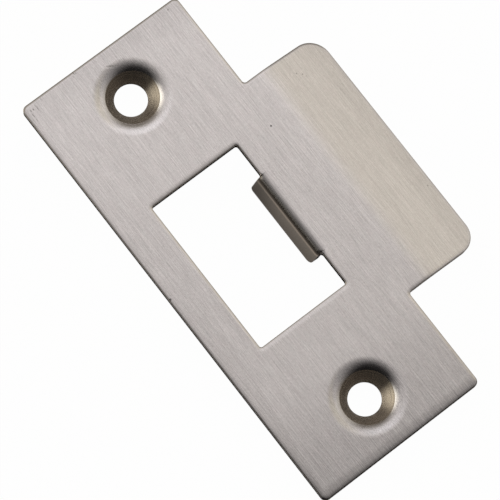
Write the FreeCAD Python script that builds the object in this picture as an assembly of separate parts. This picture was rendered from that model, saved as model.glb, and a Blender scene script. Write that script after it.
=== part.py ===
import FreeCAD, Part
import math
import os

Vector = FreeCAD.Vector

# A door strike plate: one blanked, dimpled and folded sheet. All sizes are in millimetres.
# The origin is midway between the screw holes on the back face, which seats in the door frame.
# +X points to the lip, +Y runs along the plate and +Z comes out of the front face.

# Sheet
sheet_thickness = 1.2
edge_roll_radius = 0.35

# Face plate
plate_length = 63.5
plate_width = 25.0
plate_corner_radius = 0.8

# Lip that leads the latch onto the plate
lip_width = 34.4
lip_reach = 11.9
lip_flat_reach = 2.15
lip_bend_radius = 11.0
lip_fall_angle = 13.0
lip_corner_radius = 2.7
lip_root_radius = 0.45

# Latch opening
opening_length = 22.8
opening_width = 13.9
opening_corner_radius = 0.35

# Tang folded down from the lip side of the opening
tang_width = 12.6
tang_flat_length = 2.66
tang_fold_angle = 75.6
tang_inner_radius = 0.45
tang_fold_setback = 0.78
tang_corner_radius = 0.4
tang_root_radius = 0.45

# Screw holes, each at the foot of a pressed dimple
hole_spacing = 49.0
hole_diameter = 4.4
countersink_diameter = 7.1
countersink_angle = 90.0
dimple_diameter = 10.5
dimple_slope = 38.0
dimple_stand_out = 1.35
hole_land = 0.2
hole_flare_angle = 45.0

# Working sizes
half_length = plate_length / 2
half_width = plate_width / 2
half_lip = lip_width / 2
half_opening_length = opening_length / 2
half_opening_width = opening_width / 2
half_tang = tang_width / 2
front = sheet_thickness
match_tolerance = 1e-4


def upright_edges(solid, x, y):
    """Edges that cross the sheet's thickness at the plan position x, y."""
    found = []
    for edge in solid.Edges:
        ends = [vertex.Point for vertex in edge.Vertexes]
        beside = all(math.hypot(end.x - x, end.y - y) < match_tolerance for end in ends)
        if beside and len(ends) == 2:
            found.append(edge)
    return found


def rounded_slab(length_x, length_y, corner_radius):
    """Sheet-thick slab centred on the origin, with its four upright corners rounded."""
    slab = Part.makeBox(
        length_x,
        length_y,
        sheet_thickness,
        Vector(-length_x / 2, -length_y / 2, 0),
    )
    corners = []
    for x in (-length_x / 2, length_x / 2):
        for y in (-length_y / 2, length_y / 2):
            corners += upright_edges(slab, x, y)
    return slab.makeFillet(corner_radius, corners)


def folded_strip(start_x, flat, inner_radius, angle, straight, width, side):
    """Strip that leaves start_x flat, folds down through the angle and runs on straight.

    side is +1 for a strip that runs towards +X and -1 for one that runs towards -X.
    inner_radius is the radius of the back face, which is the hollow side of the fold.
    """
    turn = math.radians(angle)
    fold_x = start_x + side * flat
    outer_radius = inner_radius + sheet_thickness

    def on_fold(radius, share):
        return Vector(
            fold_x + side * radius * math.sin(turn * share),
            0,
            radius * math.cos(turn * share) - inner_radius,
        )

    along = Vector(side * math.cos(turn), 0, -math.sin(turn))
    front_start = Vector(start_x, 0, front)
    back_start = Vector(start_x, 0, 0)
    front_tip = on_fold(outer_radius, 1) + along * straight
    back_tip = on_fold(inner_radius, 1) + along * straight
    edges = []
    if flat > 0:
        edges.append(Part.makeLine(front_start, on_fold(outer_radius, 0)))
    edges.append(arc_through(on_fold, outer_radius))
    edges.append(Part.makeLine(on_fold(outer_radius, 1), front_tip))
    edges.append(Part.makeLine(front_tip, back_tip))
    edges.append(Part.makeLine(back_tip, on_fold(inner_radius, 1)))
    edges.append(arc_through(on_fold, inner_radius))
    if flat > 0:
        edges.append(Part.makeLine(on_fold(inner_radius, 0), back_start))
    edges.append(Part.makeLine(back_start, front_start))
    section = Part.Face(Part.Wire(Part.__sortEdges__(edges)))
    strip = section.extrude(Vector(0, width, 0))
    strip.translate(Vector(0, -width / 2, 0))
    return strip


def arc_through(on_fold, radius):
    """Arc of a fold at the given radius, from its start to its end."""
    return Part.Arc(on_fold(radius, 0), on_fold(radius, 0.5), on_fold(radius, 1)).toShape()


def make_lip():
    """Lip: flat beside the plate, then bent down and straight to its outer edge."""
    turn = math.radians(lip_fall_angle)
    bend_reach = lip_bend_radius * math.sin(turn)
    straight = (lip_reach - lip_flat_reach - bend_reach) / math.cos(turn)
    lip = folded_strip(
        half_width,
        lip_flat_reach,
        lip_bend_radius - sheet_thickness,
        lip_fall_angle,
        straight,
        lip_width,
        1,
    )
    outer_x = half_width + lip_reach
    back_x = outer_x - sheet_thickness * math.sin(turn)
    corners = []
    for edge in lip.Edges:
        centre = edge.CenterOfMass
        at_tip = abs(centre.x - (outer_x + back_x) / 2) < match_tolerance
        at_side = abs(abs(centre.y) - half_lip) < match_tolerance
        if at_tip and at_side:
            corners.append(edge)
    return lip.makeFillet(lip_corner_radius, corners)


def front_height(x):
    """Height of the front face over the plan position x, on the plate and on the lip."""
    turn = math.radians(lip_fall_angle)
    past = x - (half_width + lip_flat_reach)
    bend_reach = lip_bend_radius * math.sin(turn)
    if past <= 0:
        return front
    if past <= bend_reach:
        return front - lip_bend_radius + math.sqrt(lip_bend_radius**2 - past**2)
    bend_drop = lip_bend_radius * (1 - math.cos(turn))
    return front - bend_drop - (past - bend_reach) * math.tan(turn)


def lies_on_front(edge):
    """True for an edge that lies on the front face all along."""
    points = edge.discretize(Number=5)
    return all(abs(point.z - front_height(point.x)) < match_tolerance for point in points)


def front_outline(solid):
    """Edges where the front face meets the cut walls, outside and round the opening."""
    found = []
    for edge in solid.Edges:
        if not lies_on_front(edge):
            continue
        faces = solid.ancestorsOfType(edge, Part.Face)
        fronts = [face for face in faces if all(lies_on_front(side) for side in face.Edges)]
        if len(fronts) == 1:
            found.append(edge)
    return found


def make_blank():
    """Plate with its lip and its latch opening, and rolled front edges."""
    plate = rounded_slab(plate_width, plate_length, plate_corner_radius)
    blank = plate.fuse(make_lip()).removeSplitter()
    roots = upright_edges(blank, half_width, half_lip) + upright_edges(blank, half_width, -half_lip)
    blank = blank.makeFillet(lip_root_radius, roots)
    opening = rounded_slab(opening_width, opening_length, opening_corner_radius)
    blank = blank.cut(opening)
    return blank.makeFillet(edge_roll_radius, front_outline(blank))


def tang_strip(width):
    """Strip folded down from the opening's edge, before its corners are rounded."""
    return folded_strip(
        half_opening_width + tang_fold_setback,
        0,
        tang_inner_radius,
        tang_fold_angle,
        tang_flat_length,
        width,
        -1,
    )


def make_tang():
    """Tang: folded strip with rounded tip corners."""
    tang = tang_strip(tang_width)
    tip_z = tang.BoundBox.ZMin + sheet_thickness * math.cos(math.radians(tang_fold_angle)) / 2
    tips = []
    for edge in tang.Edges:
        at_side = abs(abs(edge.CenterOfMass.y) - half_tang) < match_tolerance
        at_tip = abs(edge.CenterOfMass.z - tip_z) < match_tolerance
        if at_side and at_tip:
            tips.append(edge)
    return tang.makeFillet(tang_corner_radius, tips)


def make_root_web(side):
    """Hollow rounding that joins one side of the tang to the opening's edge."""
    corner = Vector(half_opening_width - tang_root_radius, side * half_tang, 0)
    height = front - edge_roll_radius
    low_y = min(corner.y, corner.y + side * tang_root_radius)
    block = Part.makeBox(
        tang_root_radius,
        tang_root_radius,
        height,
        Vector(corner.x, low_y, 0),
    )
    hollow = Part.makeCylinder(
        tang_root_radius,
        height,
        corner + Vector(0, side * tang_root_radius, 0),
    )
    return block.cut(hollow).common(tang_strip(tang_width + 4 * tang_root_radius))


def tang_seat():
    """Notch in the opening's edge that the folded root of the tang fills."""
    return Part.makeBox(
        tang_fold_setback + edge_roll_radius,
        tang_width,
        sheet_thickness,
        Vector(half_opening_width - edge_roll_radius, -half_tang, 0),
    )


def make_dimple():
    """Ring pressed down round a screw hole, with the countersink cut in its front.

    Below a short round land the hole opens out, as in a blank that is pierced before pressing.
    """
    slope = math.radians(dimple_slope)
    rim = dimple_diameter / 2
    crease = countersink_diameter / 2
    hole = hole_diameter / 2
    shoulder_radius = (rim - crease) / math.sin(slope)
    under_radius = shoulder_radius - sheet_thickness
    centre_z = front - shoulder_radius

    def on_shoulder(radius, share):
        return Vector(
            rim - radius * math.sin(slope * share),
            0,
            centre_z + radius * math.cos(slope * share),
        )

    crease_point = on_shoulder(shoulder_radius, 1)
    under_point = on_shoulder(under_radius, 1)
    cone_drop = (crease - hole) / math.tan(math.radians(countersink_angle / 2))
    throat = Vector(hole, 0, crease_point.z - cone_drop)
    land_end = Vector(hole, 0, throat.z - hole_land)
    flare_run = (land_end.z + dimple_stand_out) * math.tan(math.radians(hole_flare_angle))
    foot = Vector(hole + flare_run, 0, -dimple_stand_out)
    foot_run = (under_point.z + dimple_stand_out) / math.tan(slope)
    foot_rim = Vector(under_point.x - foot_run, 0, -dimple_stand_out)
    edges = [
        arc_through(on_shoulder, shoulder_radius),
        Part.makeLine(crease_point, throat),
        Part.makeLine(throat, land_end),
        Part.makeLine(land_end, foot),
        Part.makeLine(foot, foot_rim),
        Part.makeLine(foot_rim, under_point),
        arc_through(on_shoulder, under_radius),
        Part.makeLine(on_shoulder(under_radius, 0), on_shoulder(shoulder_radius, 0)),
    ]
    section = Part.Face(Part.Wire(Part.__sortEdges__(edges)))
    return section.revolve(Vector(0, 0, 0), Vector(0, 0, 1), 360)


def make_strike_plate():
    """The whole strike plate as one solid."""
    strike = make_blank().cut(tang_seat()).fuse(make_tang())
    for side in (1, -1):
        strike = strike.fuse(make_root_web(side))
        centre = Vector(0, side * hole_spacing / 2, 0)
        dimple_seat = Part.makeCylinder(dimple_diameter / 2, sheet_thickness, centre)
        dimple = make_dimple()
        dimple.translate(centre)
        strike = strike.cut(dimple_seat).fuse(dimple)
    strike = strike.removeSplitter()
    assert len(strike.Solids) == 1, "the strike plate came out in several pieces"
    return strike.Solids[0]


strike_plate = make_strike_plate()
os.makedirs("parts", exist_ok=True)
strike_plate.exportStep("parts/strike_plate.step")
bounds = strike_plate.BoundBox
print("solids", len(strike_plate.Solids), "valid", strike_plate.isValid())
print("box", bounds.XMin, bounds.XMax, bounds.YMin, bounds.YMax, bounds.ZMin, bounds.ZMax)
print("volume", strike_plate.Volume, "centre x", strike_plate.CenterOfGravity.x)
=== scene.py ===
"""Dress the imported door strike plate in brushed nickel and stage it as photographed."""

import logging
import math
from collections.abc import Callable, Iterable
from dataclasses import dataclass
from enum import Enum

import bmesh
import bpy
from mathutils import Euler, Matrix, Vector


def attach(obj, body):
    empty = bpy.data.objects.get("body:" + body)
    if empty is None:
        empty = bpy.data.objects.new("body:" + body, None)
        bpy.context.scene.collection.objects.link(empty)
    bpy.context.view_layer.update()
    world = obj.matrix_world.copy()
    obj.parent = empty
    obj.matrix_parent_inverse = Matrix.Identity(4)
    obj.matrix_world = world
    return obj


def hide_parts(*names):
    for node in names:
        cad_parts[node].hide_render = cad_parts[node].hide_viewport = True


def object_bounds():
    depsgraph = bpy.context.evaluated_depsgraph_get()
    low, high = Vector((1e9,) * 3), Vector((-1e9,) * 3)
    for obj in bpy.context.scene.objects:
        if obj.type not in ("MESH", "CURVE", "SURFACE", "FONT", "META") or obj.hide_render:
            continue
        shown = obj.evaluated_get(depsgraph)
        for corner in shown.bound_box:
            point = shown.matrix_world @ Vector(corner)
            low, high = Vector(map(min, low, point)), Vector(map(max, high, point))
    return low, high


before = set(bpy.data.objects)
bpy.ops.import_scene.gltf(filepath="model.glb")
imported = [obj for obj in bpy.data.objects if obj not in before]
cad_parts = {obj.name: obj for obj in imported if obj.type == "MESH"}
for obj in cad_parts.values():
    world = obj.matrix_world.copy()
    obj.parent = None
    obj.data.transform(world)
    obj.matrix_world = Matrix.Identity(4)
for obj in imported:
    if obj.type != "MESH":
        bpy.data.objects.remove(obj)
CAD_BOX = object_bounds()

LOG = logging.getLogger("strike_plate")
MM = 0.001
NODE = "strike_plate"
BLANK_LAYER = "blank"
INSET_LAYER = "edge_inset"
HOLE_SPACING = 49.0
TANG_HALF_WIDTH = 6.3
LEVEL_TOLERANCE = 1e-5
CUT_TOLERANCE = 1e-4
UPRIGHT_LIMIT = 0.1
ROUND_PROFILE = 0.5
NOISE_MIDDLE = 0.5
NOISE_GAIN = 4.0

Colour = tuple[float, float, float]
Span = tuple[float, float]

BLACK: Colour = (0.0, 0.0, 0.0)
WHITE: Colour = (1.0, 1.0, 1.0)


class Zone(Enum):
    """Differently finished skins of the plate, numbered by material slot."""

    BRUSHED = 0
    SHEARED = 1
    TURNED = 2
    BACK = 3


class Socket:
    """Shader output that adds Math nodes when it is used in an expression."""

    def __init__(self, graph: "Graph", output: bpy.types.NodeSocket) -> None:
        """Wrap an output.

        Args:
            graph: Graph that the output belongs to.
            output: Output to wrap.
        """
        self.graph = graph
        self.output = output

    def sibling(self, name: str) -> "Socket":
        """Return another output of the same node."""
        return Socket(self.graph, self.output.node.outputs[name])

    def math(self, operation: str, *others: "Socket | float") -> "Socket":
        """Apply a Math node to this value."""
        inputs = dict(enumerate((self, *others)))
        return self.graph.node("ShaderNodeMath", {"operation": operation}, inputs)

    def __add__(self, other: "Socket | float") -> "Socket":
        """Return the sum."""
        return self.math("ADD", other)

    __radd__ = __add__

    def __sub__(self, other: "Socket | float") -> "Socket":
        """Return the difference."""
        return self.math("SUBTRACT", other)

    def __rsub__(self, other: float) -> "Socket":
        """Return a number less this value."""
        return (self * -1.0) + other

    def __mul__(self, other: "Socket | float") -> "Socket":
        """Return the product."""
        return self.math("MULTIPLY", other)

    __rmul__ = __mul__

    def __truediv__(self, other: "Socket | float") -> "Socket":
        """Return the quotient."""
        return self.math("DIVIDE", other)

    def __abs__(self) -> "Socket":
        """Return the size of the value."""
        return self.math("ABSOLUTE")

    def highest(self, other: "Socket | float") -> "Socket":
        """Return the higher of two values."""
        return self.math("MAXIMUM", other)

    def ease(self, low: float, high: float) -> "Socket":
        """Ease from 0 at low to 1 at high, or the other way where low is the larger.

        Args:
            low: Value at which the result is 0.
            high: Value at which the result is 1.

        Returns:
            The eased share.
        """
        inputs = {"Value": self, "From Min": low, "From Max": high}
        settings = {"interpolation_type": "SMOOTHSTEP"}
        return self.graph.node("ShaderNodeMapRange", settings, inputs)


class Graph:
    """Node tree that is written as expressions."""

    def __init__(self, tree: bpy.types.NodeTree) -> None:
        """Empty a node tree.

        Args:
            tree: Tree to fill.
        """
        self.tree = tree
        tree.nodes.clear()

    def node(
        self,
        kind: str,
        settings: dict[str, object] | None = None,
        inputs: dict[str | int, object] | None = None,
        output: str | int = 0,
    ) -> Socket | None:
        """Add a node of any type.

        Args:
            kind: Blender's name of the node type.
            settings: Node properties, which are set first.
            inputs: Values or sockets by input name or number.
            output: Name or number of the output to return.

        Returns:
            The chosen output, or None for a node without outputs.
        """
        made = self.tree.nodes.new(kind)
        for name, value in (settings or {}).items():
            setattr(made, name, value)
        for name, value in (inputs or {}).items():
            if isinstance(value, Socket):
                self.tree.links.new(value.output, made.inputs[name])
            else:
                made.inputs[name].default_value = value
        return Socket(self, made.outputs[output]) if made.outputs else None

    def vector(self, x: Socket, y: Socket | float, z: Socket | float = 0.0) -> Socket:
        """Join three values into a vector."""
        return self.node("ShaderNodeCombineXYZ", inputs={"X": x, "Y": y, "Z": z})

    def split(self, vector: Socket) -> tuple[Socket, Socket, Socket]:
        """Return the three parts of a vector."""
        parts = self.node("ShaderNodeSeparateXYZ", inputs={0: vector})
        return parts, parts.sibling("Y"), parts.sibling("Z")

    def noise(self, at: Socket, detail: float) -> Socket:
        """Add a noise round 0 with about one feature for each unit of its vector."""
        inputs = {"Vector": at, "Scale": 1.0, "Detail": detail}
        return (self.node("ShaderNodeTexNoise", inputs=inputs) - NOISE_MIDDLE) * NOISE_GAIN

    @staticmethod
    def opaque(colour: Socket | Colour) -> Socket | tuple[float, float, float, float]:
        """Return a colour as a colour input takes it."""
        return colour if isinstance(colour, Socket) else (*colour, 1.0)

    def mix(self, share: Socket, first: Socket | Colour, second: Socket | Colour) -> Socket:
        """Mix two colours.

        Args:
            share: Share of the second colour.
            first: First colour.
            second: Second colour.

        Returns:
            The mixed colour.
        """
        inputs = {0: share, 6: self.opaque(first), 7: self.opaque(second)}
        return self.node("ShaderNodeMix", {"data_type": "RGBA"}, inputs, 2)

    def scaled(self, colour: Socket | Colour, gain: Socket) -> Socket:
        """Return a colour made brighter or darker by a value."""
        settings = {"operation": "SCALE"}
        return self.node("ShaderNodeVectorMath", settings, {0: colour, "Scale": gain})

    def sum(self, first: Socket, second: Socket) -> Socket:
        """Return the sum of two colours."""
        return self.node("ShaderNodeVectorMath", {"operation": "ADD"}, {0: first, 1: second})


class Metal(Graph):
    """Material graph of a metal skin, with the coordinates that its marks follow."""

    def __init__(self, name: str) -> None:
        """Start a material.

        Args:
            name: Name of the material.
        """
        self.material = bpy.data.materials.new(name)
        self.material.use_nodes = True
        super().__init__(self.material.node_tree)
        self.x, self.y, self.z = self.split(self._attribute(BLANK_LAYER, "Vector"))
        self.inset = self._attribute(INSET_LAYER, "Fac")
        self.facing = self.split(self.node("ShaderNodeNewGeometry", output="Normal"))

    def _attribute(self, layer: str, output: str) -> Socket:
        """Read a layer of the mesh."""
        return self.node("ShaderNodeAttribute", {"attribute_name": layer}, output=output)

    def mottle(self, sizes: tuple[float, ...], detail: float = 2.0, shift: float = 0.0) -> Socket:
        """Read noise whose features have given sizes on the blank.

        Args:
            sizes: Sizes in millimetres along x, y and, where it is given, z.
            detail: Number of finer layers.
            shift: Offset that sets this layer apart from others.

        Returns:
            Values round 0, mostly between -1 and 1.
        """
        x, *others = [place / size for place, size in zip((self.x, self.y, self.z), sizes)]
        return self.noise(self.vector(x + shift, *others), detail)

    def marked(self, mark: "Mark") -> Socket:
        """Mask a mark on the blank.

        Args:
            mark: Mark to draw.

        Returns:
            The mark's depth at its middle and 0 outside.
        """
        turn = math.radians(mark.angle)
        x, y = self.x - mark.x, self.y - mark.y
        along = (x * math.cos(turn) + y * math.sin(turn)) / mark.half_length
        across = (y * math.cos(turn) - x * math.sin(turn)) / mark.half_width
        return (along * along + across * across).ease(1.0, mark.core) * mark.depth

    def from_hole(self, spacing: float) -> Socket:
        """Return the distance from the nearer screw hole's axis in millimetres."""
        away = abs(self.y) - spacing / 2
        return (self.x * self.x + away * away).math("SQRT")

    def finish(
        self,
        colour: Socket | Colour,
        roughness: Socket,
        height: Socket,
        bump: float,
        glancing: Colour = WHITE,
        metallic: float = 1.0,
    ) -> bpy.types.Material:
        """Close the graph with a metal surface.

        Args:
            colour: Base colour.
            roughness: Roughness.
            height: Height of the grain, in shares of the bump.
            bump: Depth of the grain in millimetres.
            glancing: Tint of what the surface reflects at a glancing angle.
            metallic: Share of bare metal. The rest is dull.

        Returns:
            The finished material.
        """
        normal = self.node(
            "ShaderNodeBump",
            inputs={"Strength": 1.0, "Distance": bump * MM, "Height": height},
        )
        shader = self.node(
            "ShaderNodeBsdfPrincipled",
            inputs={
                "Base Color": self.opaque(colour),
                "Metallic": metallic,
                "Specular Tint": self.opaque(glancing),
                "Roughness": roughness,
                "Normal": normal,
            },
        )
        self.node("ShaderNodeOutputMaterial", inputs={"Surface": shader})
        return self.material


@dataclass(frozen=True)
class Mark:
    """Small mark on the brushed front, an ellipse on the flat blank in millimetres and degrees."""

    x: float
    y: float
    half_length: float
    half_width: float
    angle: float = 90.0
    depth: float = 0.4
    core: float = 0.15


@dataclass(frozen=True)
class Streaks:
    """Layer of the brushed grain, in millimetres across and along the plate."""

    across: float
    along: float
    weight: float
    shift: float = 0.0
    detail: float = 1.0

    def add(self, metal: Metal) -> Socket:
        """Return the layer's share of the grain."""
        sizes = (self.across, self.along, self.across)
        return metal.mottle(sizes, self.detail, self.shift) * self.weight


@dataclass(frozen=True)
class Tone:
    """Change of the finish that eases in as a measure, such as x or y, goes from start to end.

    Its depth grows by the slope for each unit of a second measure.
    """

    start: float
    end: float
    depth: float
    slope: float = 0.0

    def share(self, first: Socket, second: Socket) -> Socket:
        """Return how much the tone takes or adds at a place."""
        return first.ease(self.start, self.end) * (second * self.slope + self.depth)


@dataclass(frozen=True)
class TangPaintedShade:
    """Painted shade on the tang, darkest from the middle of its fold on, with a painted highlight
    along the ridge between.
    """

    # Painted shade: colours of the tang's face and fold
    face_shade_colour: Colour = (0.115, 0.099, 0.083)
    fold_shade_colour: Colour = (0.066, 0.055, 0.046)
    # Painted highlight along the ridge at the fold's end
    ridge_highlight_colour: Colour = (0.24, 0.2, 0.163)
    half_width: float = TANG_HALF_WIDTH
    side_edge: Span = (0.5, 0.1)
    tip_edge: Span = (2.0, 2.3)
    dark_from: Span = (6.8, 6.3)
    fold_from: Span = (7.7, 7.1)
    face_from: Span = (6.0, 5.75)
    ridge_x: float = 5.76
    ridge_edge: Span = (0.3, 0.06)
    upper_shade_from: Span = (0.0, 6.0)
    upper_shade_depth: float = 0.46
    face_gain: float = 0.15
    face_shade_slope: float = 0.2
    face_mottle: float = 0.05
    ragged_sizes: Span = (2.0, 0.22)
    ragged_fold: float = 0.09
    ragged_ridge: float = 0.03

    def dress(self, metal: Metal, colour: Socket) -> tuple[Socket, Socket, Socket]:
        """Paint shade over the tang and its fold, and a highlight along the ridge.

        Args:
            metal: Graph to add to.
            colour: Colour of the brushed front.

        Returns:
            The colour with the tang, the tang's mask and the whole fold's mask.
        """
        ragged = metal.mottle(self.ragged_sizes)
        along = metal.x + ragged * self.ragged_fold
        outer, inner = (self.half_width + margin for margin in self.side_edge)
        beside = metal.x.ease(*self.tip_edge) * abs(metal.y).ease(outer, inner)
        tang = along.ease(*self.dark_from) * beside
        fold = along.ease(*self.fold_from) * beside
        # Painted shade: the tang's face darker over its upper half
        upper = metal.y.ease(*self.upper_shade_from) * -self.upper_shade_depth + 1.0
        # Painted shade: the face lighter towards its bend than at its tip
        gain = metal.x * self.face_shade_slope + ragged * self.face_mottle + self.face_gain
        face = metal.scaled(self.face_shade_colour, gain * upper)
        dull = metal.mix(metal.x.ease(*self.face_from), self.fold_shade_colour, face)
        # Painted highlight along the ridge at the fold's end
        from_ridge = abs(metal.x + ragged * self.ragged_ridge - self.ridge_x)
        dull = metal.mix(from_ridge.ease(*self.ridge_edge) * upper, dull, self.ridge_highlight_colour)
        return metal.mix(tang, colour, dull), tang, fold


@dataclass(frozen=True)
class BrushedNickel:
    """Satin front: fine lines brushed along the plate, with painted shade on the rolled edges, the
    tang and both ends, and a painted highlight over the lip's bend.
    """

    name: str = "brushed_nickel_front"
    colour: Colour = (0.613, 0.582, 0.6)
    # Painted shade colours of the rolled edges, the darker one for edges facing the upper end
    roll_shade_colour: Colour = (0.36, 0.325, 0.29)
    upper_edge_shade_colour: Colour = (0.25, 0.225, 0.195)
    warm_cool: Colour = (0.985, 1.01, 1.0)
    glancing: Colour = (0.78, 0.75, 0.73)
    roughness: float = 0.22
    grain_roughness: float = 0.02
    tang_roughness: float = 0.12
    worn_roughness: float = 0.2
    bump: float = 0.003
    fold_smoothness: float = 0.85
    edge_smoothness: float = 0.7
    grain: float = 0.22
    # Painted shade on the tang and its fold
    tang: TangPaintedShade = TangPaintedShade()
    streaks: tuple[Streaks, ...] = (
        Streaks(0.072, 2.2, 0.68, detail=2.0),
        Streaks(0.085, 0.35, 0.44, 31.0),
        Streaks(0.1, 12.0, 0.42, 67.0),
    )
    cloud_sizes: Span = (5.0, 14.0)
    cloud_detail: float = 3.0
    cloud_tone: float = 0.012
    hue_sizes: Span = (0.5, 2.2)
    hue_shift: float = 11.0
    # Painted shade towards both ends of the plate
    low_end_shade: Tone = Tone(-16.0, -30.0, 0.185, -0.003)
    high_end_shade: Tone = Tone(27.0, 31.5, 0.08, 0.003)
    # Painted shade near the lip's outer edge
    lip_rim_shade: Tone = Tone(21.6, 22.7, 0.055)
    lip_grain: Tone = Tone(14.0, 17.0, -0.04)
    # Painted highlight in a band over the start of the lip's bend, stronger towards the upper end
    bend_highlight_x: float = 15.0
    bend_highlight: Tone = Tone(1.5, 0.3, 0.05)
    bend_highlight_rise: Span = (-10.0, 3.0)
    # Painted shade on rolled edges facing the upper end, deeper towards that end
    upper_edge_shade: Tone = Tone(0.01, 0.15, 0.48, 0.0135)
    upper_edge_shade_inset: Span = (0.75, 0.1)
    roll_shade_inset: Span = (0.2, 0.0)
    # Painted shade along the low end's rolled edge
    low_edge_shade_inset: Span = (0.18, 0.0)
    low_edge_shade_span: Span = (-30.6, -31.4)
    smooth_edge: Span = (0.4, 0.1)
    marks: tuple[Mark, ...] = (
        # Speck beside the opening, with a painted highlight on its bright side
        Mark(11.83, 10.68, 0.17, 0.16, depth=0.68),
        Mark(12.0, 10.9, 0.12, 0.12, depth=-0.12),
        # Hairline near the upper dimple, with a painted highlight on its bright side
        Mark(0.2, 29.38, 0.85, 0.075, -33.0, 0.5),
        Mark(0.05, 29.16, 0.95, 0.1, -33.0, -0.13),
        # Scuffs along the upper end
        Mark(-10.71, 30.86, 0.5, 0.07, 95.0, 0.3),
        Mark(-11.22, 30.73, 0.22, 0.11, 95.0, 0.55),
        Mark(-11.6, 30.75, 0.25, 0.09, 88.0, 0.45),
        Mark(-11.67, 30.1, 0.5, 0.075, 94.0, 0.48),
        Mark(-11.68, 29.36, 0.32, 0.07, 92.0, 0.32),
        Mark(-10.71, 30.4, 0.34, 0.07, 90.0, 0.3),
        Mark(-9.65, 31.22, 0.28, 0.06, 90.0, 0.28),
        Mark(-4.24, 31.43, 0.2, 0.09, 90.0, 0.55),
        Mark(-4.0, 31.33, 0.16, 0.07, 90.0, 0.4),
        Mark(-4.54, 31.14, 0.24, 0.06, 90.0, 0.35),
        Mark(10.65, 30.94, 0.16, 0.12, 60.0, 0.38),
        # Nick in the left edge
        Mark(-12.42, 0.48, 0.23, 0.38, 90.0, 0.8),
        # Specks on the lip
        Mark(18.95, 14.32, 0.14, 0.14, depth=0.36),
        Mark(19.56, 13.79, 0.14, 0.13, depth=0.4),
        Mark(19.83, 13.31, 0.12, 0.1, depth=0.26),
        Mark(23.71, -7.49, 0.13, 0.13, depth=0.3),
        # Painted shade at the tang's roots
        Mark(6.75, 6.3, 0.45, 0.5, depth=0.62),
        Mark(7.0, -6.4, 0.3, 0.4, depth=0.3),
    )

    def build(self) -> bpy.types.Material:
        """Finish the front.

        Returns:
            The finished material.
        """
        metal = Metal(self.name)
        grain = sum(layer.add(metal) for layer in self.streaks)
        # Marks: specks, a hairline, scuffs and a nick, with painted highlights on two and painted
        # shade at the tang's roots
        wear_and_painted_light = sum(metal.marked(mark) for mark in self.marks)
        colour = metal.scaled(self._hue(metal), self._shade(metal, grain) - wear_and_painted_light)
        colour = self._paint_edge_shade(metal, colour)
        # Painted shade on the tang and its fold, painted highlight on its ridge
        colour, tang, fold = self.tang.dress(metal, colour)
        roughness = grain * self.grain_roughness + tang * self.tang_roughness
        roughness = roughness + wear_and_painted_light * self.worn_roughness + self.roughness
        edge = metal.inset.ease(*self.smooth_edge) * self.edge_smoothness
        height = grain * (1.0 - fold * self.fold_smoothness) * (1.0 - edge)
        return metal.finish(colour, roughness, height, self.bump, self.glancing)

    def _hue(self, metal: Metal) -> Socket:
        """Mix the plating's colour from a warmer and a cooler one.

        Args:
            metal: Graph to add to.

        Returns:
            The mottled colour.
        """
        cool = tuple(part * gain for part, gain in zip(self.colour, self.warm_cool))
        share = metal.mottle(self.hue_sizes, shift=self.hue_shift) / 2 + 1 / 2
        return metal.mix(share, self.colour, cool)

    def _shade(self, metal: Metal, grain: Socket) -> Socket:
        """Work out how light the brushed front is, from its grain and tone, with painted shade
        towards both ends and near the lip's outer edge and a painted highlight over the lip's
        bend.

        Args:
            metal: Graph to add to.
            grain: Grain of the brush.

        Returns:
            Gain of the colour, round 1.
        """
        grained = grain * (self.lip_grain.share(metal.x, metal.y) + self.grain)
        cloud = metal.mottle(self.cloud_sizes, self.cloud_detail)
        # Painted highlight over the start of the lip's bend
        bend_highlight = self.bend_highlight.share(abs(metal.x - self.bend_highlight_x), metal.y)
        shade = grained + cloud * self.cloud_tone + bend_highlight * metal.y.ease(*self.bend_highlight_rise) + 1.0
        # Painted shade near the lip's outer edge
        shade = shade - self.lip_rim_shade.share(metal.x, metal.y)
        # Painted shade towards both ends
        end_shades = self.low_end_shade.share(metal.y, metal.x) + self.high_end_shade.share(metal.y, metal.x)
        return shade - end_shades

    def _paint_edge_shade(self, metal: Metal, colour: Socket) -> Socket:
        """Darken the rolled edges with painted shade, more on those facing the upper end and along
        the low end's edge.

        Args:
            metal: Graph to add to.
            colour: Colour of the brushed front.

        Returns:
            The colour with its edges.
        """
        # Painted shade along the rolled edges
        colour = metal.mix(metal.inset.ease(*self.roll_shade_inset), colour, self.roll_shade_colour)
        # Painted shade on rolled edges facing the upper end
        upper_edge_shade = self.upper_edge_shade.share(metal.facing[1], metal.y)
        upper_edge_shade = upper_edge_shade * metal.inset.ease(*self.upper_edge_shade_inset)
        colour = metal.mix(upper_edge_shade, colour, self.upper_edge_shade_colour)
        # Painted shade along the low end's rolled edge, in the fold's shade colour
        low_edge_shade = metal.inset.ease(*self.low_edge_shade_inset) * metal.y.ease(*self.low_edge_shade_span)
        return metal.mix(low_edge_shade, colour, self.tang.fold_shade_colour)


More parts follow.
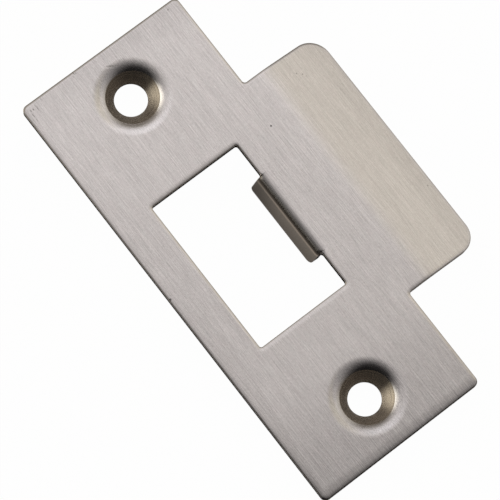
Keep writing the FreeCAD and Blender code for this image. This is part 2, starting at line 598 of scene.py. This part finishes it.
@dataclass(frozen=True)
class ShearedEdge:
    """Cut wall: burnished where the punch entered and torn dull below, with painted shade
    darkening both.
    """

    name: str = "sheared_edge"
    # Colours darkened with painted shade, the glancing tint too
    burnished_shaded_colour: Colour = (0.06, 0.051, 0.043)
    torn_shaded_colour: Colour = (0.045, 0.038, 0.032)
    glancing: Colour = (0.11, 0.09, 0.072)
    burnish_from: Span = (0.4, 0.65)
    ragged_sizes: tuple[float, ...] = (0.25, 0.25, 0.9)
    raggedness: float = 0.04
    torn_roughness: float = 0.5
    burnished_roughness: float = 0.35
    line_sizes: tuple[float, ...] = (0.06, 0.06, 0.7)
    bump: float = 0.0015

    def build(self) -> bpy.types.Material:
        """Finish the cut walls.

        Returns:
            The finished material.
        """
        metal = Metal(self.name)
        ragged = metal.mottle(self.ragged_sizes)
        bright = (metal.z + ragged * self.raggedness).ease(*self.burnish_from)
        colour = metal.mix(bright, self.torn_shaded_colour, self.burnished_shaded_colour)
        roughness = bright * (self.burnished_roughness - self.torn_roughness)
        roughness = roughness + self.torn_roughness
        lines = metal.mottle(self.line_sizes)
        return metal.finish(colour, roughness, lines, self.bump, self.glancing)


@dataclass(frozen=True)
class TurnedSink:
    """Countersink: fine rings left by the cutter round each screw hole."""

    name: str = "turned_countersink"
    colour: Colour = (0.33, 0.287, 0.244)
    spacing: float = HOLE_SPACING
    ring_width: float = 0.035
    ring_tone: float = 0.08
    cloud_sizes: tuple[float, ...] = (0.8, 0.8, 0.8)
    cloud_detail: float = 3.0
    cloud_tone: float = 0.08
    cloud_roughness: float = 0.03
    roughness: float = 0.235
    bump: float = 0.004
    metallic: float = 0.82

    def build(self) -> bpy.types.Material:
        """Finish the countersinks.

        Returns:
            The finished material.
        """
        metal = Metal(self.name)
        turns = metal.from_hole(self.spacing) / self.ring_width
        rings = metal.noise(metal.vector(turns, 0.0), detail=1.0)
        cloud = metal.mottle(self.cloud_sizes, self.cloud_detail)
        tone = rings * self.ring_tone + cloud * self.cloud_tone + 1.0
        colour = metal.scaled(self.colour, tone)
        roughness = cloud * self.cloud_roughness + self.roughness
        return metal.finish(colour, roughness, rings, self.bump, metallic=self.metallic)


@dataclass(frozen=True)
class MillBack:
    """Unbrushed back: satin plating over the rolled sheet."""

    name: str = "plated_back"
    colour: Colour = (0.5, 0.475, 0.455)
    cloud_sizes: Span = (3.0, 5.0)
    cloud_detail: float = 4.0
    cloud_tone: float = 0.03
    cloud_roughness: float = 0.03
    pit_sizes: Span = (0.12, 0.2)
    pit_tone: float = 0.02
    roughness: float = 0.38
    bump: float = 0.0015

    def build(self) -> bpy.types.Material:
        """Finish the back.

        Returns:
            The finished material.
        """
        metal = Metal(self.name)
        cloud = metal.mottle(self.cloud_sizes, self.cloud_detail)
        pits = metal.mottle(self.pit_sizes)
        tone = cloud * self.cloud_tone + pits * self.pit_tone + 1.0
        roughness = cloud * self.cloud_roughness + self.roughness
        return metal.finish(metal.scaled(self.colour, tone), roughness, pits, self.bump)


@dataclass(frozen=True)
class Corner:
    """Right-angled corner of a cut line on the flat blank, in millimetres."""

    x: float
    y: float
    radius: float
    roll: float = 1.0
    segments: int = 8


@dataclass(frozen=True)
class CutLine:
    """Closed cut line with rounded corners. The sheet lies to its left.

    A corner's roll widens the rolled edge along the side that leaves the corner.
    """

    corners: tuple[Corner, ...]
    least_radius: float = 0.04

    def add_loop(
        self, mesh: bmesh.types.BMesh, inset: float, height: float
    ) -> list[bmesh.types.BMEdge]:
        """Add the line as a loop of edges, moved into the sheet.

        Args:
            mesh: Mesh to add to.
            inset: Distance from the cut line into the sheet.
            height: Height above the back face.

        Returns:
            The loop's edges.
        """
        inset_layer = mesh.verts.layers.float[INSET_LAYER]
        old_edges, old_verts = set(mesh.edges), set(mesh.verts)
        rounded = []
        for index, corner in enumerate(self.corners):
            before = self.corners[index - 1]
            after = self.corners[(index + 1) % len(self.corners)]
            arriving = Vector((corner.x - before.x, corner.y - before.y)).normalized()
            leaving = Vector((after.x - corner.x, after.y - corner.y)).normalized()
            x = corner.x - (arriving.y * before.roll + leaving.y * corner.roll) * inset
            y = corner.y + (arriving.x * before.roll + leaving.x * corner.roll) * inset
            grow = -inset if arriving.cross(leaving) > 0 else inset
            radius = max(corner.radius + grow, self.least_radius)
            rounded.append((mesh.verts.new((x, y, height)), radius, corner.segments))
        mesh.faces.new([vert for vert, _, _ in rounded])
        for vert, radius, segments in rounded:
            bmesh.ops.bevel(
                mesh,
                geom=[vert],
                offset=radius,
                offset_type="OFFSET",
                segments=segments,
                profile=ROUND_PROFILE,
                affect="VERTICES",
                clamp_overlap=False,
                material=-1,
            )
        loop = [edge for edge in mesh.edges if edge not in old_edges]
        faces = {face for edge in loop for face in edge.link_faces}
        bmesh.ops.delete(mesh, geom=list(faces), context="FACES_ONLY")
        for vert in mesh.verts:
            if vert not in old_verts:
                vert[inset_layer] = inset
        return loop


@dataclass(frozen=True)
class SheetEdge:
    """Section through a blanked edge, from the flat front to the back."""

    roll_width: float = 0.55
    roll_depth: float = 0.15
    roll_steps: int = 9
    margin: float = 0.14
    back_break: float = 0.05

    def stations(self, thickness: float) -> list[tuple[float, float]]:
        """List the section.

        Args:
            thickness: Thickness of the sheet.

        Returns:
            Insets from the cut line with their heights, from the front to the back.
        """
        found = [(self.roll_width + self.margin, thickness)]
        for step in range(self.roll_steps, -1, -1):
            turn = math.pi / 2 * step / self.roll_steps
            inset = self.roll_width * (1 - math.cos(turn))
            found.append((inset, thickness - self.roll_depth * (1 - math.sin(turn))))
        return [*found, (0.0, self.back_break), (self.back_break, 0.0)]


@dataclass(frozen=True)
class SheetBend:
    """Bend of the sheet about a line that runs along the plate."""

    start: float
    outer_radius: float
    angle: float
    direction: int
    steps: int

    @property
    def arc(self) -> float:
        """Length of the bend on the front skin."""
        return self.outer_radius * self.angle

    def lines(self) -> list[float]:
        """Return where the blank is divided, with a support line at each side."""
        step = self.arc / self.steps
        return [self.start + self.direction * step * index for index in range(-1, self.steps + 2)]

    def place(self, flat: Vector, thickness: float) -> Vector:
        """Carry a point of the flat blank to where the bend takes it.

        Args:
            flat: Point of the blank.
            thickness: Thickness of the sheet.

        Returns:
            The point after bending.
        """
        past = (flat.x - self.start) * self.direction
        if past <= 0:
            return flat.copy()
        angle = min(past, self.arc) / self.outer_radius
        radius = self.outer_radius - (thickness - flat.z)
        straight = max(past - self.arc, 0.0)
        out = radius * math.sin(angle) + straight * math.cos(angle)
        drop = self.outer_radius - radius * math.cos(angle) + straight * math.sin(angle)
        return Vector((self.start + self.direction * out, flat.y, thickness - drop))


@dataclass(frozen=True)
class EndSag:
    """Slight droop that the shear left along one end of the plate."""

    start: float = -30.2
    reach: float = 1.55
    depth: float = 0.145
    steps: int = 4
    spacing: float = 0.22

    def lines(self) -> list[float]:
        """Return where the blank is divided before the rolled edge begins."""
        return [self.start - self.spacing * index for index in range(-1, self.steps - 1)]

    def place(self, flat: Vector) -> Vector:
        """Lower a point of the blank that lies past the start."""
        share = max(self.start - flat.y, 0.0) / self.reach
        return Vector((flat.x, flat.y, flat.z - self.depth * share * share))


@dataclass(frozen=True)
class TangFold:
    """Tang folded down from the opening's edge, torn from the sheet beside it at its roots."""

    half_width: float = TANG_HALF_WIDTH
    length: float = 2.787
    tear: float = 0.03
    fades: tuple[float, ...] = (-0.2, 0.0, 0.03, 0.25)
    tip_clearance: float = 1.0
    bend: SheetBend = SheetBend(7.65, 1.6, math.radians(71.0), -1, 14)

    @property
    def tip(self) -> float:
        """Place of the tip on the flat blank."""
        return self.bend.start - self.bend.arc - self.length

    def fade_lines(self) -> list[float]:
        """Return the distances from the middle at which the blank is divided."""
        return [self.half_width + fade for fade in self.fades]

    def holds(self, flat: Vector) -> bool:
        """Tell whether a point of the blank moves with the tang."""
        near = abs(flat.y) < self.half_width + self.tear / 2
        return near and self.tip - self.tip_clearance < flat.x < self.bend.start

    def tears(self, edge: bmesh.types.BMEdge) -> bool:
        """Tell whether an edge of the flat blank runs along a root's tear.

        Args:
            edge: Edge of the blank.

        Returns:
            Whether both its ends lie on one side of a tear.
        """
        gaps = [abs(vert.co.y) - self.half_width for vert in edge.verts]
        inside = all(self.tip < vert.co.x <= self.bend.start + self.tear for vert in edge.verts)
        return inside and any(
            all(abs(gap - line) < self.tear / 4 for gap in gaps) for line in (0.0, self.tear)
        )


@dataclass(frozen=True)
class Dimple:
    """Pressed dimple with a countersink cut in its front and a screw hole at its foot."""

    hole_radius: float = 2.2
    crease_radius: float = 3.55
    rim_radius: float = 5.25
    slope: float = math.radians(38.0)
    sink_slope: float = math.radians(45.0)
    stand_out: float = 1.35
    land: float = 0.2
    flare: float = math.radians(45.0)
    margin: float = 0.14
    arc_steps: int = 16
    turns: int = 96
    drift: Span = (-0.18, 0.08)

    def place(self, flat: Vector, y: float) -> Vector:
        """Move a point of the hole's wall aside, as the drill wandered.

        Args:
            flat: Point of the blank.
            y: Place of the hole along the plate.

        Returns:
            The moved point.
        """
        if math.hypot(flat.x, flat.y - y) > (self.hole_radius + self.crease_radius) / 2:
            return flat
        return Vector((flat.x + self.drift[0], flat.y + self.drift[1], flat.z))

    def profile(self, thickness: float) -> list[tuple[float, float]]:
        """List the section from the front rim through the hole to the back rim.

        Args:
            thickness: Thickness of the sheet.

        Returns:
            Radii with their heights.
        """
        shoulder = (self.rim_radius - self.crease_radius) / math.sin(self.slope)
        centre = thickness - shoulder

        def arc(radius: float, shares: Iterable[float]) -> list[tuple[float, float]]:
            """Return points of the shoulder at shares of its slope."""
            angles = [self.slope * share for share in shares]
            return [
                (self.rim_radius - radius * math.sin(a), centre + radius * math.cos(a))
                for a in angles
            ]

        shares = [step / self.arc_steps for step in range(self.arc_steps + 1)]
        front = arc(shoulder, shares)
        back = arc(shoulder - thickness, reversed(shares))
        crease = front[-1][1]
        throat = crease - (self.crease_radius - self.hole_radius) * math.tan(self.sink_slope)
        land_end = throat - self.land
        flared = self.hole_radius + (land_end + self.stand_out) * math.tan(self.flare)
        run = (back[0][1] + self.stand_out) / math.tan(self.slope)
        rim = self.rim_radius + self.margin
        return [
            (rim, thickness),
            *front,
            (self.hole_radius, throat),
            (self.hole_radius, land_end),
            (flared, -self.stand_out),
            (back[0][0] - run, -self.stand_out),
            *back,
            (rim, 0.0),
        ]

    def add(self, mesh: bmesh.types.BMesh, y: float, thickness: float) -> None:
        """Turn the section round the hole's axis.

        Args:
            mesh: Mesh to add to.
            y: Place of the hole along the plate.
            thickness: Thickness of the sheet.
        """
        inset_layer = mesh.verts.layers.float[INSET_LAYER]
        section = [mesh.verts.new((r, y, z)) for r, z in self.profile(thickness)]
        for vert in section:
            vert[inset_layer] = self.rim_radius
        edges = [mesh.edges.new(pair) for pair in zip(section, section[1:])]
        bmesh.ops.spin(
            mesh,
            geom=[*section, *edges],
            cent=(0.0, y, 0.0),
            axis=(0.0, 0.0, 1.0),
            angle=math.tau,
            steps=self.turns,
            use_merge=True,
        )


@dataclass
class StrikePlate:
    """One pressed sheet: plate, lip, latch opening, tang and dimpled screw holes."""

    name: str = "strike_plate_sheet"
    thickness: float = 1.2
    half_width: float = 12.5
    half_length: float = 31.75
    corner_radius: float = 0.8
    lip_half_width: float = 17.2
    lip_straight: float = 7.427
    lip_corner_radius: float = 2.7
    lip_upper_radius: float = 3.0
    lip_root_radius: float = 0.45
    opening_half_width: float = 6.95
    opening_upper_side: float = 6.83
    opening_lower_side: float = 6.9
    opening_half_length: float = 11.4
    opening_corner_radius: float = 0.35
    tang_corner_radius: float = 0.55
    tang_worn_radius: float = 0.85
    tang_root_radius: float = 0.3
    tang_lower_root_radius: float = 0.5
    hole_spacing: float = HOLE_SPACING
    upper_roll: float = 0.75
    opening_upper_roll: float = 1.2
    opening_lower_roll: float = 1.35
    opening_side_rolls: Span = (0.9, 0.85)
    lip_corner_segments: int = 20
    tang_side_margin: float = 0.7
    fold_start_margin: float = 0.5
    wall_margin: float = 0.01
    sharp_angle: float = math.radians(28.0)
    lip: SheetBend = SheetBend(14.65, 11.0, math.radians(13.0), 1, 14)
    tang: TangFold = TangFold()
    sag: EndSag = EndSag()
    edge: SheetEdge = SheetEdge()
    dimple: Dimple = Dimple()

    def outer_line(self) -> CutLine:
        """Lay out the plate and the lip.

        Returns:
            Their common outline.
        """
        w, h, lip = self.half_width, self.half_length, self.lip_half_width
        end = self.lip.start + self.lip.arc + self.lip_straight
        plate, root, roll = self.corner_radius, self.lip_root_radius, self.upper_roll
        steps = self.lip_corner_segments
        return CutLine(
            (
                Corner(-w, -h, plate),
                Corner(w, -h, plate),
                Corner(w, -lip, root),
                Corner(end, -lip, self.lip_corner_radius, segments=steps),
                Corner(end, lip, self.lip_upper_radius, roll, steps),
                Corner(w, lip, root),
                Corner(w, h, plate, roll),
                Corner(-w, h, plate),
            )
        )

    def opening_line(self) -> CutLine:
        """Lay out the latch opening.

        Returns:
            Its outline, which goes round the tang.
        """
        w, h, tang = self.opening_half_width, self.opening_half_length, self.tang.half_width
        corner, root = self.opening_corner_radius, self.tang_root_radius
        upper, lower = self.opening_upper_side, self.opening_lower_side
        upper_roll, lower_roll = self.opening_side_rolls
        return CutLine(
            (
                Corner(-w, -h, corner),
                Corner(-w, h, corner, self.opening_upper_roll),
                Corner(upper, h, corner, upper_roll),
                Corner(upper, tang, root),
                Corner(self.tang.tip, tang, self.tang_corner_radius),
                Corner(self.tang.tip, -tang, self.tang_worn_radius),
                Corner(lower, -tang, self.tang_lower_root_radius, lower_roll),
                Corner(lower, -h, corner, self.opening_lower_roll),
            )
        )

    def build(self) -> bpy.types.Object:
        """Press the sheet and dress it.

        Returns:
            The finished piece.
        """
        mesh = bmesh.new()
        mesh.verts.layers.float.new(INSET_LAYER)
        blank_layer = mesh.verts.layers.float_vector.new(BLANK_LAYER)
        for line in (self.outer_line(), self.opening_line()):
            self._add_edge(mesh, line)
        for side in (1, -1):
            self.dimple.add(mesh, side * self.hole_spacing / 2, self.thickness)
        for height in (self.thickness, 0.0):
            self._fill(mesh, height)
        self._divide(mesh)
        bmesh.ops.recalc_face_normals(mesh, faces=mesh.faces)
        self._sort_skins(mesh)
        for vert in mesh.verts:
            vert[blank_layer] = vert.co
        self._bend(mesh)
        self._report(mesh)
        bmesh.ops.transform(mesh, matrix=Matrix.Scale(MM, 4), verts=mesh.verts)
        data = bpy.data.meshes.new(self.name)
        mesh.to_mesh(data)
        mesh.free()
        piece = bpy.data.objects.new(self.name, data)
        bpy.context.scene.collection.objects.link(piece)
        for finish in (BrushedNickel(), ShearedEdge(), TurnedSink(), MillBack()):
            data.materials.append(finish.build())
        return piece

    def _add_edge(self, mesh: bmesh.types.BMesh, line: CutLine) -> None:
        """Add the rings of a blanked edge along a cut line.

        Args:
            mesh: Mesh to add to.
            line: Cut line.
        """
        stations = self.edge.stations(self.thickness)
        loops = [line.add_loop(mesh, inset, height) for inset, height in stations]
        for upper, lower in zip(loops, loops[1:]):
            bmesh.ops.bridge_loops(mesh, edges=[*upper, *lower])

    @staticmethod
    def _fill(mesh: bmesh.types.BMesh, height: float) -> None:
        """Fill one flat face between the open loops.

        Args:
            mesh: Mesh to fill.
            height: Height of the face.
        """
        rims = [
            edge
            for edge in mesh.edges
            if edge.is_boundary
            and all(abs(vert.co.z - height) < LEVEL_TOLERANCE for vert in edge.verts)
        ]
        bmesh.ops.triangle_fill(mesh, edges=rims, use_beauty=True, normal=(0.0, 0.0, 1.0))

    def _divide(self, mesh: bmesh.types.BMesh) -> None:
        """Divide the blank along the lines of its bends, its sag and the tang's roots.

        Args:
            mesh: Blank to divide.
        """
        reach = self.tang.half_width + self.tang_side_margin
        low = self.tang.tip - self.tang.tip_clearance
        high = self.tang.bend.start + self.fold_start_margin

        def on_lip(at: Vector) -> bool:
            """Tell whether a face lies on the lip."""
            return at.x > self.half_width

        def on_lip_side(at: Vector) -> bool:
            """Tell whether a face lies between the tang's tip and the lip's edge."""
            return low < at.x and abs(at.y) < self.lip_half_width

        def in_tang_line(at: Vector) -> bool:
            """Tell whether a face lies between the tang's two outer lines."""
            return low < at.x and abs(at.y) < reach

        def by_tang(at: Vector) -> bool:
            """Tell whether a face lies on the tang or close beside it."""
            return in_tang_line(at) and at.x < high

        def on_low_end(at: Vector) -> bool:
            """Tell whether a face lies below the lip."""
            return at.y < -self.lip_half_width

        for x in self.lip.lines():
            self._cut(mesh, "x", x, on_lip)
        for y in (reach, -reach):
            self._cut(mesh, "y", y, on_lip_side)
        self._cut(mesh, "x", high, in_tang_line)
        for x in self.tang.bend.lines():
            self._cut(mesh, "x", x, by_tang)
        for away in self.tang.fade_lines():
            for y in (away, -away):
                self._cut(mesh, "y", y, by_tang)
        for y in self.sag.lines():
            self._cut(mesh, "y", y, on_low_end)

    @staticmethod
    def _cut(
        mesh: bmesh.types.BMesh, axis: str, place: float, wanted: Callable[[Vector], bool]
    ) -> None:
        """Divide some faces along a line of the blank.

        Args:
            mesh: Mesh to divide.
            axis: Axis that the line crosses, x or y.
            place: Where it crosses the axis.
            wanted: Test of a face's centre.
        """
        normal = Vector((1.0, 0.0, 0.0)) if axis == "x" else Vector((0.0, 1.0, 0.0))
        faces = [face for face in mesh.faces if wanted(face.calc_center_median())]
        edges = {edge for face in faces for edge in face.edges}
        verts = {vert for face in faces for vert in face.verts}
        bmesh.ops.bisect_plane(
            mesh,
            geom=[*verts, *edges, *faces],
            dist=CUT_TOLERANCE,
            plane_co=normal * place,
            plane_no=normal,
        )

    def _sort_skins(self, mesh: bmesh.types.BMesh) -> None:
        """Give each face its finish, and mark the sharp edges of the flat blank.

        Args:
            mesh: Flat blank.
        """
        for face in mesh.faces:
            at = face.calc_center_median()
            radius = math.hypot(at.x, abs(at.y) - self.hole_spacing / 2)
            if radius < self.dimple.hole_radius + self.wall_margin:
                zone = Zone.SHEARED
            elif radius < self.dimple.crease_radius and face.normal.z > UPRIGHT_LIMIT:
                zone = Zone.TURNED
            elif abs(face.normal.z) < UPRIGHT_LIMIT:
                zone = Zone.SHEARED
            elif face.normal.z < 0:
                zone = Zone.BACK
            else:
                zone = Zone.BRUSHED
            face.material_index = zone.value
            face.smooth = True
        for edge in mesh.edges:
            skins = {face.material_index for face in edge.link_faces}
            creased = Zone.TURNED.value in skins and len(skins) > 1
            sharp = edge.calc_face_angle(0.0) > self.sharp_angle or self.tang.tears(edge)
            edge.smooth = not (creased or sharp)

    def _bend(self, mesh: bmesh.types.BMesh) -> None:
        """Bend the lip, fold the tang, drift the holes and droop the low end.

        Args:
            mesh: Flat blank.
        """
        for vert in mesh.verts:
            bend = self.tang.bend if self.tang.holds(vert.co) else self.lip
            side = math.copysign(self.hole_spacing / 2, vert.co.y)
            vert.co = self.dimple.place(bend.place(vert.co, self.thickness), side)
            vert.co = self.sag.place(vert.co)

    @staticmethod
    def _report(mesh: bmesh.types.BMesh) -> None:
        """Log the size of the mesh and whether it is closed.

        Args:
            mesh: Bent sheet in millimetres.
        """
        loose = sum(not edge.is_manifold for edge in mesh.edges)
        volume = mesh.calc_volume(signed=True)
        LOG.info(
            "sheet: %d faces, %d open edges, %.1f cubic mm", len(mesh.faces), loose, volume
        )


@dataclass(frozen=True)
class SoftPatch:
    """Round patch of the studio's sky with a soft rim. Angles are in degrees."""

    azimuth: float
    elevation: float
    core: float
    reach: float
    tint: Colour

    def share(self, graph: Graph, around: Socket) -> Socket:
        """Mask the patch.

        Args:
            graph: World graph.
            around: Direction that is looked at.

        Returns:
            1 in the patch's core and 0 past its reach.
        """
        tilt = Euler((0.0, -math.radians(self.elevation), math.radians(self.azimuth)))
        axis = tilt.to_matrix() @ Vector((1.0, 0.0, 0.0))
        settings = {"operation": "DOT_PRODUCT"}
        facing = graph.node("ShaderNodeVectorMath", settings, {0: around, 1: axis}, "Value")
        return facing.ease(math.cos(math.radians(self.reach)), math.cos(math.radians(self.core)))


@dataclass
class Studio:
    """Pale floor, soft light and the photograph's camera."""

    low_sky: Colour = (0.26, 0.23, 0.185)
    high_sky: Colour = (0.94, 0.9, 0.85)
    sky_rise: Span = (0.2, 0.74)
    shades: tuple[tuple[SoftPatch, float], ...] = (
        (SoftPatch(221.0, 7.0, 40.0, 97.0, BLACK), 0.98),
        (SoftPatch(285.0, 56.0, 0.0, 48.0, BLACK), 0.42),
        (SoftPatch(2.0, 53.0, 10.0, 23.0, (0.68, 0.55, 0.05)), 0.18),
    )
    softboxes: tuple[SoftPatch, ...] = (
        SoftPatch(135.0, 2.0, 0.0, 42.0, (2.0, 1.93, 1.65)),
        SoftPatch(356.0, 0.0, 0.0, 46.0, (0.5, 0.487, 0.43)),
        SoftPatch(62.0, 55.0, 8.0, 24.0, (0.285, 0.295, 0.315)),
        SoftPatch(14.0, 60.0, 0.0, 14.0, (0.06, 0.06, 0.07)),
    )
    floor_size: float = 6.0
    floor_gap: float = 0.00001
    floor_colour: Colour = (0.93, 0.93, 0.93)
    floor_white: float = 0.98
    shadow_spacing: float = HOLE_SPACING * MM
    shadow_edge: Span = (0.0085, 0.0105)
    camera_place: tuple[float, float, float] = (-0.057205, -0.0440127, 0.3491260)
    camera_turn: tuple[float, float, float] = (11.233115, -3.030156, -37.736525)
    lens: float = 200.694
    sensor: float = 36.0
    clip_start: float = 0.01

    def build(self, lowest: float) -> None:
        """Set the stage.

        Args:
            lowest: Height of the object's lowest point in metres.
        """
        self._add_floor(lowest - self.floor_gap)
        self._light()
        self._add_camera()
        bpy.context.scene.view_settings.view_transform = "Standard"

    def _add_floor(self, height: float) -> None:
        """Lay the floor.

        Args:
            height: Height of the floor in metres.
        """
        mesh = bmesh.new()
        bmesh.ops.create_grid(mesh, x_segments=1, y_segments=1, size=self.floor_size / 2)
        bmesh.ops.translate(mesh, vec=(0.0, 0.0, height), verts=mesh.verts)
        data = bpy.data.meshes.new("floor")
        mesh.to_mesh(data)
        mesh.free()
        floor = bpy.data.objects.new("floor", data)
        bpy.context.scene.collection.objects.link(floor)
        data.materials.append(self._paper())

    def _paper(self) -> bpy.types.Material:
        """Make white paper that the metal mirrors, but not in the shadow round a screw hole.

        Returns:
            The material, which is clear to a camera below the floor.
        """
        material = bpy.data.materials.new("floor_paper")
        material.use_nodes = True
        graph = Graph(material.node_tree)
        colour = {"Color": graph.opaque(self.floor_colour)}
        paper = graph.node("ShaderNodeBsdfDiffuse", inputs=colour)
        glow = {"Color": graph.opaque(WHITE), "Strength": 1.0}
        white = graph.node("ShaderNodeEmission", inputs=glow)
        rays = graph.node("ShaderNodeLightPath", output="Is Camera Ray")
        x, y, _ = graph.split(graph.node("ShaderNodeTexCoord", output="Object"))
        away = abs(y) - self.shadow_spacing / 2
        unshaded = (x * x + away * away).math("SQRT").ease(*self.shadow_edge)
        mirrored = rays.sibling("Is Glossy Ray").highest(rays.sibling("Is Transmission Ray"))
        share = rays.highest(mirrored * unshaded) * self.floor_white
        lit = graph.node("ShaderNodeMixShader", inputs={0: share, 1: paper, 2: white})
        see_through = graph.node("ShaderNodeBsdfTransparent")
        under = graph.node("ShaderNodeNewGeometry", output="Backfacing") * rays
        surface = graph.node("ShaderNodeMixShader", inputs={0: under, 1: lit, 2: see_through})
        graph.node("ShaderNodeOutputMaterial", inputs={"Surface": surface})
        return material

    def _light(self) -> None:
        """Light the scene with a soft studio world."""
        world = bpy.data.worlds.new("studio")
        bpy.context.scene.world = world
        world.use_nodes = True
        graph = Graph(world.node_tree)
        around = graph.node("ShaderNodeTexCoord", output="Generated")
        height = graph.node("ShaderNodeSeparateXYZ", inputs={0: around}, output="Z")
        colour = graph.mix(height.ease(*self.sky_rise), self.low_sky, self.high_sky)
        for shade, depth in self.shades:
            colour = graph.mix(shade.share(graph, around) * depth, colour, shade.tint)
        for box in self.softboxes:
            colour = graph.sum(colour, graph.scaled(box.tint, box.share(graph, around)))
        sky = graph.node("ShaderNodeBackground", inputs={"Color": colour, "Strength": 1.0})
        graph.node("ShaderNodeOutputWorld", inputs={"Surface": sky})

    def _add_camera(self) -> None:
        """Set the camera where the photograph was taken from."""
        data = bpy.data.cameras.new("camera")
        data.lens = self.lens
        data.sensor_width = self.sensor
        data.clip_start = self.clip_start
        camera = bpy.data.objects.new("camera", data)
        camera.location = self.camera_place
        camera.rotation_euler = Euler([math.radians(turn) for turn in self.camera_turn])
        bpy.context.scene.collection.objects.link(camera)
        bpy.context.scene.camera = camera


def main() -> None:
    """Build the plate and its stage."""
    logging.basicConfig(level=logging.INFO, format="%(name)s: %(message)s")
    plate = StrikePlate().build()
    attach(plate, "root")
    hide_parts(NODE)
    LOG.info("piece %s stands for %s", plate.name, NODE)
    Studio().build(CAD_BOX[0].z)
    LOG.info("stage set")


if __name__ == "__main__":
    main()
